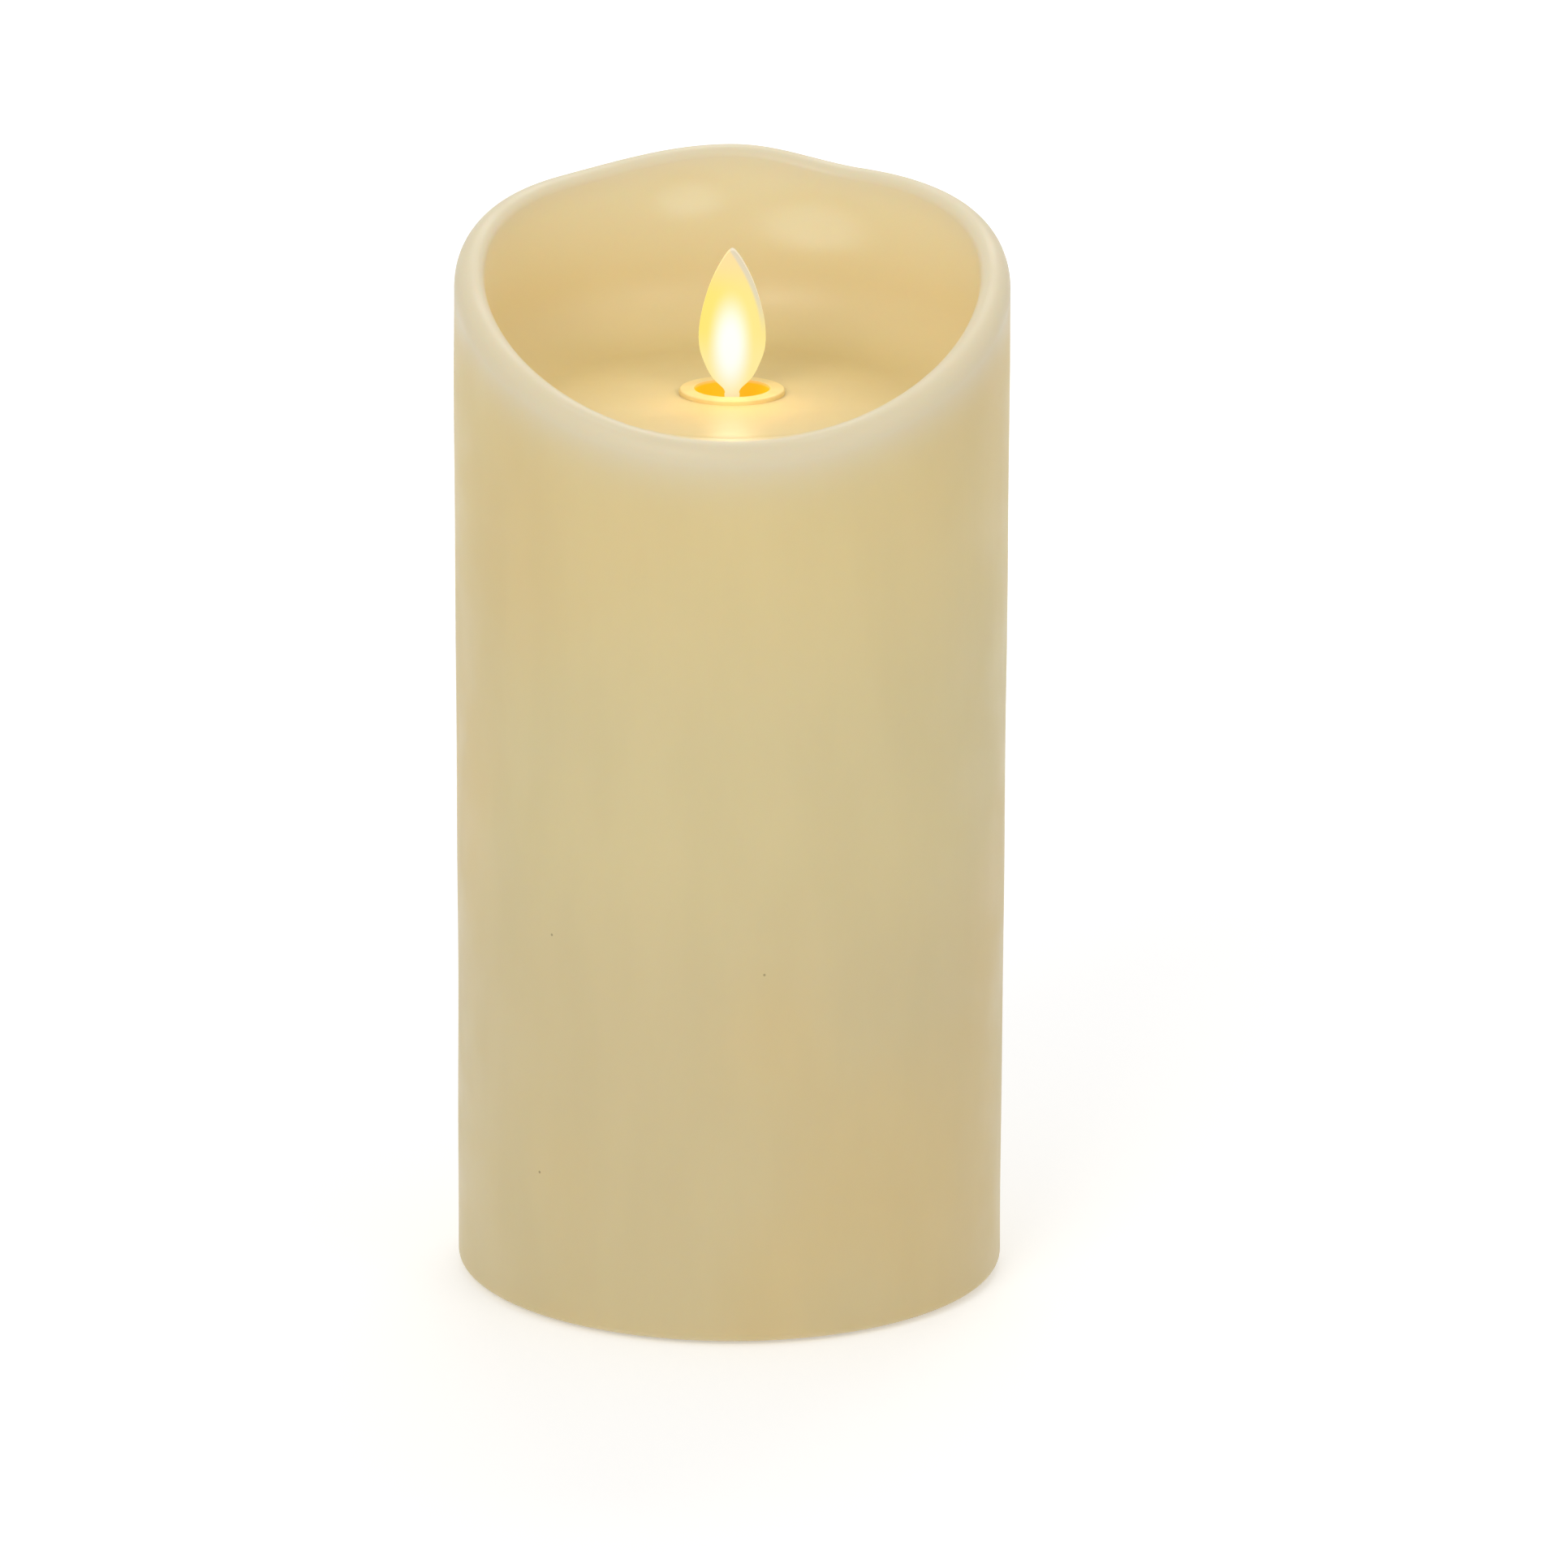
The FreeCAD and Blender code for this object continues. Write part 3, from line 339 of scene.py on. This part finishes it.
def waxFinish():
    material, tree, shader = newFinish("ivoryWax")
    height = axes(tree)[2]
    colour = mixed(tree, between(tree, height, waxLook["middleStarts"]), waxLook["lower"], waxLook["middle"])
    colour = mixed(tree, between(tree, height, waxLook["upperStarts"]), colour, waxLook["upper"])
    patches = ramp(tree, clouds(tree, 20.0, 1.5, (1, 1, 0.75)), 0.45, 0.7, 0, waxLook["patchShare"])
    colour = mixed(tree, patches, colour, waxLook["warmPatch"])
    wisps = clouds(tree, 110.0, 3.0, (1, 1, 0.3))
    streaks = ramp(tree, wisps, 0.3, 0.7, waxLook["streakDark"], waxLook["streakLight"])
    grey = tree.nodes.new("ShaderNodeCombineColor")
    for socket in grey.inputs[:3]:
        tree.links.new(streaks, socket)
    colour = mixed(tree, 1.0, colour, grey.outputs[0], "MULTIPLY")
    # painted light and shade in the cup: paler near the top, golden deeper down, partly the wax's own tone
    # and partly painted shade and flame glow
    cup = mixed(tree, painted(tree, "cupDepth"), waxLook["cupTopWaxAndLight"], waxLook["cupDeepWaxShadeAndGlow"])
    colour = mixed(tree, painted(tree, "inCup"), colour, cup)
    # painted highlights: a paler colour on the dents and along the rim glints
    dents = maths(tree, "MULTIPLY", painted(tree, "highlightPaint"), waxLook["dentShare"])
    colour = mixed(tree, dents, colour, waxLook["dent"])
    # painted rim light: a paler cream laid along the crest
    rim = maths(tree, "MULTIPLY", painted(tree, "rimNear"), waxLook["rimShare"])
    colour = mixed(tree, rim, colour, waxLook["rim"])
    tree.links.new(mixed(tree, waxSpecks(tree), colour, waxLook["speck"]), shader.inputs["Base Color"])
    least = waxLook["roughness"] - waxLook["smoother"]
    gloss = ramp(tree, clouds(tree, 90.0, 3.0), 0.3, 0.7, least, waxLook["roughness"] + waxLook["rougher"])
    inCup = maths(tree, "MULTIPLY", painted(tree, "inCup"), waxLook["cupSmoother"])
    tree.links.new(maths(tree, "SUBTRACT", gloss, inCup), shader.inputs["Roughness"])
    shader.inputs["Subsurface Weight"].default_value = waxLook["subsurface"]
    shader.inputs["Subsurface Radius"].default_value = waxLook["depths"]
    shader.inputs["Subsurface Scale"].default_value = waxLook["reach"]
    shader.inputs["IOR"].default_value = waxLook["ior"]
    fine = maths(tree, "MULTIPLY", clouds(tree, 1400.0, 2.0), waxLook["finePart"])
    skin = maths(tree, "ADD", clouds(tree, 70.0, 1.0, (1, 1, 0.6)), fine)
    relief(tree, shader, skin, waxLook["reliefDepth"], waxLook["reliefStrength"])
    return material


waxBody = makeWax()
waxBody.data.materials.append(waxFinish())
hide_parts("wax_shell")
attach(waxBody, "root")
print("wax body made:", len(waxBody.data.vertices), "points")


# the flame: a lit blade with a white heart, yellow shoulders and a pale orange tip

flame = {  # places in millimetres
    "heart": (-0.3, 154.2), "heartHalf": (2.5, 6.2), "heartFade": (0.35, 1.6),
    "stemEnds": (145.5, 147.5), "yellowStarts": (151.0, 157.5),
    "yellowAcross": (-4.0, 4.0), "yellowRight": 0.45,
    "tipStarts": (162.0, 169.0), "glowStarts": (132.0, 144.5), "glowLeast": 0.12, "glow": 0.98,
    "bevelMiddle": 155.5, "bevelHalf": 14.7, "bevelWide": 5.4, "bevelEdge": (-1.1, -0.5),
    "bevelStarts": (154.5, 163.0), "bevelShare": 0.8,
    "white": tone(255, 254, 246), "yellow": tone(252, 228, 112), "edge": tone(252, 231, 152),
    "tipColour": tone(254, 222, 154), "stem": tone(246, 222, 164), "bevel": tone(216, 208, 186),
    "body": (0.015, 0.014, 0.01, 1), "roughness": 0.4,
}


def fromMiddle(tree, value, middle, half):
    return maths(tree, "DIVIDE", maths(tree, "SUBTRACT", value, middle * mm), half * mm)


def flameBevel(tree, across, height):  # the paler facet down the right flank
    along = fromMiddle(tree, height, flame["bevelMiddle"], flame["bevelHalf"])
    width = maths(tree, "SUBTRACT", 1.0, maths(tree, "MULTIPLY", along, along))
    flank = maths(tree, "MULTIPLY", width, flame["bevelWide"] * mm)
    facet = between(tree, maths(tree, "SUBTRACT", across, flank), flame["bevelEdge"])
    upward = between(tree, height, flame["bevelStarts"], 0.0, flame["bevelShare"])
    return maths(tree, "MULTIPLY", facet, upward)


def flameFinish():
    material, tree, shader = newFinish("litFlame")
    across, height = axes(tree)[::2]
    side = fromMiddle(tree, across, flame["heart"][0], flame["heartHalf"][0])
    along = fromMiddle(tree, height, flame["heart"][1], flame["heartHalf"][1])
    squares = maths(tree, "ADD", maths(tree, "MULTIPLY", side, side), maths(tree, "MULTIPLY", along, along))
    away = maths(tree, "SQRT", squares)
    leftward = between(tree, across, flame["yellowAcross"], 1.0, flame["yellowRight"])
    yellow = maths(tree, "MULTIPLY", between(tree, height, flame["yellowStarts"]), leftward)
    colour = mixed(tree, yellow, flame["edge"], flame["yellow"])
    colour = mixed(tree, between(tree, height, flame["tipStarts"]), colour, flame["tipColour"])
    colour = mixed(tree, between(tree, height, flame["stemEnds"], 1, 0), colour, flame["stem"])
    colour = mixed(tree, ramp(tree, away, *flame["heartFade"], 1, 0), colour, flame["white"])
    colour = mixed(tree, flameBevel(tree, across, height), colour, flame["bevel"])
    tree.links.new(colour, shader.inputs["Emission Color"])
    lit = between(tree, height, flame["glowStarts"], flame["glowLeast"], flame["glow"])
    tree.links.new(lit, shader.inputs["Emission Strength"])
    shader.inputs["Base Color"].default_value = flame["body"]
    shader.inputs["Roughness"].default_value = flame["roughness"]
    relief(tree, shader, clouds(tree, 900.0, 2.0), 0.00004, 0.3)
    return material


# finishes of the other pieces, one entry for each material slot of the record

finishes = {
    "magnet_nickel": {"kind": "metal", "colour": tone(205, 203, 198), "rough": 0.16, "grain": 900},
    "steel_wire": {"kind": "metal", "colour": tone(186, 150, 92), "rough": 0.28, "grain": 2500},
    "housing_plastic": {"kind": "moulded", "colour": tone(234, 229, 214), "rough": 0.48, "grain": 1500},
    "screw_steel": {"kind": "metal", "colour": tone(196, 197, 196), "rough": 0.3, "grain": 1800},
    "lamp_epoxy": {"kind": "moulded", "colour": tone(255, 232, 170), "rough": 0.12, "grain": 400,
                   "glow": (tone(255, 214, 130), 1.0)},
    "tinned_metal": {"kind": "metal", "colour": tone(208, 208, 203), "rough": 0.34, "grain": 1300},
    "bobbin_plastic": {"kind": "moulded", "colour": tone(44, 44, 44), "rough": 0.45, "grain": 1500},
    "copper_winding": {"kind": "wound", "colour": tone(196, 108, 60), "rough": 0.3, "grain": 5200},
    "board_green": {"kind": "board", "colour": tone(26, 92, 50), "rough": 0.36, "grain": 420},
    "chip_black": {"kind": "moulded", "colour": tone(38, 38, 39), "rough": 0.5, "grain": 3000},
    "can_sleeve": {"kind": "moulded", "colour": tone(34, 38, 66), "rough": 0.25, "grain": 700},
    "can_metal": {"kind": "metal", "colour": tone(202, 202, 198), "rough": 0.22, "grain": 1000},
    "case_plastic": {"kind": "moulded", "colour": tone(230, 222, 200), "rough": 0.42, "grain": 1400},
    "cell_wrap": {"kind": "wrapped", "colour": tone(42, 54, 84), "rough": 0.24, "grain": 300},
    "spring_steel": {"kind": "metal", "colour": tone(208, 206, 200), "rough": 0.24, "grain": 1500},
    "base_plastic": {"kind": "moulded", "colour": tone(226, 217, 190), "rough": 0.44, "grain": 1600},
    "foot_rubber": {"kind": "rubber", "colour": tone(208, 203, 188), "rough": 0.75, "grain": 2200},
    "switch_plastic": {"kind": "moulded", "colour": tone(40, 40, 41), "rough": 0.4, "grain": 1500},
    "lead_red": {"kind": "rubber", "colour": tone(176, 30, 26), "rough": 0.42, "grain": 1200},
    "lead_black": {"kind": "rubber", "colour": tone(34, 34, 35), "rough": 0.42, "grain": 1200},
}


plainLook = {
    "mottle": 0.94, "gap": 0.4, "gapShare": 0.35, "smoother": 0.05, "rougher": 0.07, "strength": 0.6,
    "depth": {"metal": 0.00001, "rubber": 0.00008, "wound": 0.0001}, "usualDepth": 0.00003,
    "sleeveEnds": (44.5, 44.9), "sleeveColour": tone(186, 128, 70),  # the cell's two-tone wrap
    "track": tone(96, 148, 84), "trackShare": 0.6, "trackWidth": 0.06,
}


def darkened(colour, share):
    return tuple(c * share for c in colour[:3]) + (1.0,)


def woundTurns(tree, shader, look, colour):
    shader.inputs["Metallic"].default_value = 1.0
    shader.inputs["Coat Weight"].default_value = 0.5
    turns = tree.nodes.new("ShaderNodeTexWave")
    turns.bands_direction = "Z"
    turns.inputs["Scale"].default_value = look["grain"] / 6
    tree.links.new(placed(tree), turns.inputs["Vector"])
    gaps = maths(tree, "MULTIPLY", turns.outputs["Fac"], plainLook["gapShare"])
    return mixed(tree, gaps, colour, darkened(look["colour"], plainLook["gap"])), turns.outputs["Fac"]


def boardTracks(tree, look, colour):
    tracks = tree.nodes.new("ShaderNodeTexBrick")
    tracks.inputs["Scale"].default_value = look["grain"]
    tracks.inputs["Mortar Size"].default_value = plainLook["trackWidth"]
    tracks.inputs["Color1"].default_value = (1, 1, 1, 1)
    tracks.inputs["Color2"].default_value = (0.8, 0.8, 0.8, 1)
    tracks.inputs["Mortar"].default_value = (0, 0, 0, 1)
    tree.links.new(placed(tree), tracks.inputs["Vector"])
    share = maths(tree, "MULTIPLY", tracks.outputs["Fac"], plainLook["trackShare"])
    return mixed(tree, share, colour, plainLook["track"]), tracks.outputs["Fac"]


def cellWrap(tree, shader, colour):
    shader.inputs["Metallic"].default_value = 0.35
    shader.inputs["Coat Weight"].default_value = 0.4
    upper = between(tree, axes(tree)[2], plainLook["sleeveEnds"])
    return mixed(tree, upper, colour, plainLook["sleeveColour"])


def plainFinish(slot, look):
    material, tree, shader = newFinish(slot + "Finish")
    kind = look["kind"]
    shade = ramp(tree, clouds(tree, look["grain"] / 4, 3.0), 0.3, 0.7)
    colour = mixed(tree, shade, darkened(look["colour"], plainLook["mottle"]), look["colour"])
    height = clouds(tree, look["grain"], 3.0)
    if kind == "metal":
        shader.inputs["Metallic"].default_value = 1.0
        height = clouds(tree, look["grain"], 2.0, (1, 1, 0.08))
    if kind == "wound":
        colour, height = woundTurns(tree, shader, look, colour)
    if kind == "board":
        colour, height = boardTracks(tree, look, colour)
    if kind == "wrapped":
        colour = cellWrap(tree, shader, colour)
    if kind == "rubber":
        shader.inputs["Sheen Weight"].default_value = 0.15
    if "glow" in look:
        glowColour, glowStrength = look["glow"]
        shader.inputs["Emission Color"].default_value = glowColour
        shader.inputs["Emission Strength"].default_value = glowStrength
    tree.links.new(colour, shader.inputs["Base Color"])
    least, most = look["rough"] - plainLook["smoother"], look["rough"] + plainLook["rougher"]
    gloss = ramp(tree, clouds(tree, look["grain"] / 5, 2.0), 0.3, 0.7, least, most)
    tree.links.new(gloss, shader.inputs["Roughness"])
    depth = plainLook["depth"].get(kind, plainLook["usualDepth"])
    relief(tree, shader, height, depth, plainLook["strength"])
    return material


collar = {  # places in millimetres
    # bore is a painted orange-gold for the light inside the bore
    "ring": tone(242, 217, 148), "bore": tone(236, 166, 28), "boreRadius": 6.15, "boreEdge": (0.02, 0.3),
    "boreTop": (146.4, 147.0), "topShare": 0.25, "mottle": 0.12, "roughness": 0.36,
    "ringGlow": 0.04, "boreGlow": 0.62,
}


# painted glow: the collar is no lamp, but its bore is painted orange-gold and glows as if lit by the lamp
# below, and the ring glows faintly
def collarFinish():
    material, tree, shader = newFinish("warmCollar")
    x, y, z = axes(tree)
    square = maths(tree, "ADD", maths(tree, "POWER", x, 2.0), maths(tree, "POWER", y, 2.0))
    edge = [collar["boreRadius"] + reach for reach in collar["boreEdge"]]
    inBore = between(tree, maths(tree, "SQRT", square), edge, 1, 0)
    inBore = maths(tree, "MULTIPLY", inBore, between(tree, z, collar["boreTop"], 1.0, collar["topShare"]))
    colour = mixed(tree, inBore, collar["ring"], collar["bore"])
    mottle = ramp(tree, clouds(tree, 400.0, 2.0), 0.3, 0.7, 0.0, collar["mottle"])
    tree.links.new(mixed(tree, mottle, colour, collar["bore"]), shader.inputs["Base Color"])
    # painted glow on the bore and the ring
    tree.links.new(colour, shader.inputs["Emission Color"])
    glow = maths(tree, "ADD", maths(tree, "MULTIPLY", inBore, collar["boreGlow"]), collar["ringGlow"])
    tree.links.new(glow, shader.inputs["Emission Strength"])
    shader.inputs["Roughness"].default_value = collar["roughness"]
    relief(tree, shader, clouds(tree, 700.0, 2.0), 0.00003, 0.4)
    return material


made = {"flame_plastic": flameFinish(), "collar_plastic": collarFinish()}
for slot, look in finishes.items():
    made[slot] = plainFinish(slot, look)
for name, node in nodes.items():
    for place in node.material_slots:
        if place.material and place.material.name in made:
            place.material = made[place.material.name]
print("finishes given to", len(nodes), "CAD nodes")


# floor, world, lamps and camera

stage = {
    "floorHalf": 9.0, "floorColour": (0.82, 0.82, 0.82, 1), "worldLight": 0.62,
    "liftNear": 0.34, "liftFar": 0.62, "liftReach": (0.25, 1.3),
    "lamps": (((-0.9, -1.95, 1.5), 1.3, 15.5, (1.0, 0.985, 0.96)),
              ((1.5, -1.5, 1.2), 1.3, 5.0, (1.0, 0.94, 0.86)),
              ((0.2, 1.3, 1.7), 1.2, 8.0, (1.0, 1.0, 1.0))),
    "lampAim": (0, 0, 0.09), "underPlace": (0.0, 0.0, -0.6), "underSize": 0.8, "underPower": 1.1,
    "glowPlace": (0.0, -9.0, 155.0), "glowPower": 0.0019, "glowColour": (1.0, 0.68, 0.36), "glowSize": 4.0,
}


def makeFloor():
    half = stage["floorHalf"] / mm
    corners = [(-half, -half, 0), (half, -half, 0), (half, half, 0), (-half, half, 0)]
    floor = meshPiece("floor", corners, [(0, 1, 2, 3)])
    material = bpy.data.materials.new("paleFloor")
    material.use_nodes = True
    tree = material.node_tree
    tree.nodes.clear()
    plain = tree.nodes.new("ShaderNodeBsdfDiffuse")
    plain.inputs["Color"].default_value = stage["floorColour"]
    lift = tree.nodes.new("ShaderNodeEmission")
    away = tree.nodes.new("ShaderNodeVectorMath")  # the lift grows outwards, so the shadow by the foot stays
    away.operation = "LENGTH"
    tree.links.new(placed(tree), away.inputs[0])
    begins, ends = stage["liftReach"]
    lifted = ramp(tree, away.outputs["Value"], begins, ends, stage["liftNear"], stage["liftFar"])
    tree.links.new(maths(tree, "MULTIPLY", seenDirectly(tree), lifted), lift.inputs["Strength"])
    both = tree.nodes.new("ShaderNodeAddShader")
    tree.links.new(plain.outputs[0], both.inputs[0])
    tree.links.new(lift.outputs[0], both.inputs[1])
    clear = tree.nodes.new("ShaderNodeBsdfTransparent")
    side = tree.nodes.new("ShaderNodeNewGeometry")
    choice = tree.nodes.new("ShaderNodeMixShader")
    tree.links.new(side.outputs["Backfacing"], choice.inputs[0])
    tree.links.new(both.outputs[0], choice.inputs[1])
    tree.links.new(clear.outputs[0], choice.inputs[2])
    out = tree.nodes.new("ShaderNodeOutputMaterial")
    tree.links.new(choice.outputs[0], out.inputs[0])
    floor.data.materials.append(material)


def makeWorld():
    world = bpy.data.worlds.new("studio")
    scene.world = world
    world.use_nodes = True
    tree = world.node_tree
    tree.nodes.clear()
    soft = tree.nodes.new("ShaderNodeBackground")
    soft.inputs["Strength"].default_value = stage["worldLight"]
    soft.inputs["Color"].default_value = (1, 1, 1, 1)
    white = tree.nodes.new("ShaderNodeBackground")
    white.inputs["Color"].default_value = (1, 1, 1, 1)
    white.inputs["Strength"].default_value = 1.0
    choice = tree.nodes.new("ShaderNodeMixShader")
    tree.links.new(seenDirectly(tree), choice.inputs[0])
    tree.links.new(soft.outputs[0], choice.inputs[1])
    tree.links.new(white.outputs[0], choice.inputs[2])
    out = tree.nodes.new("ShaderNodeOutputWorld")
    tree.links.new(choice.outputs[0], out.inputs[0])


def makeLamp(name, place, target, kind, power, colour, size):
    lamp = bpy.data.lights.new(name, kind)
    lamp.energy = power
    lamp.color = colour
    if kind == "AREA":
        lamp.shape = "DISK"
        lamp.size = size
    else:
        lamp.shadow_soft_size = size
    thing = bpy.data.objects.new(name, lamp)
    scene.collection.objects.link(thing)
    thing.location = place
    thing.rotation_euler = (Vector(target) - Vector(place)).to_track_quat("-Z", "Y").to_euler()
    return thing


makeFloor()
makeWorld()
for number, (place, size, power, colour) in enumerate(stage["lamps"]):
    makeLamp("softbox" + str(number), place, stage["lampAim"], "AREA", power, colour, size)
makeLamp("flameGlow", [c * mm for c in stage["glowPlace"]], (0, 0, 0), "POINT",
         stage["glowPower"], stage["glowColour"], stage["glowSize"] * mm)

underLamp = makeLamp("underLight", stage["underPlace"], (0, 0, 0), "AREA",
                     stage["underPower"], (1, 1, 1), stage["underSize"])
lit = bpy.data.collections.new("litFromBelow")  # the object alone takes this lamp's light, through the floor
for piece in [waxBody] + list(nodes.values()):
    lit.objects.link(piece)
underLamp.light_linking.receiver_collection = lit
underLamp.light_linking.blocker_collection = lit

camera = {
    "place": (0.0, -1.542, 0.525), "aim": (0.0086, 0.0, 0.081),
    "lens": 227.3, "sensor": 36.0, "roll": 0.25, "sees": (0.05, 60),
}


def makeCamera():
    view = bpy.data.cameras.new("viewCamera")
    view.lens = camera["lens"]
    view.sensor_width = camera["sensor"]
    view.clip_start, view.clip_end = camera["sees"]
    thing = bpy.data.objects.new("viewCamera", view)
    scene.collection.objects.link(thing)
    scene.camera = thing
    look = (Vector(camera["aim"]) - Vector(camera["place"])).to_track_quat("-Z", "Y").to_matrix().to_4x4()
    turn = Matrix.Rotation(math.radians(camera["roll"]), 4, "Z")
    thing.matrix_world = Matrix.Translation(camera["place"]) @ look @ turn


makeCamera()
print("floor, light and camera made")
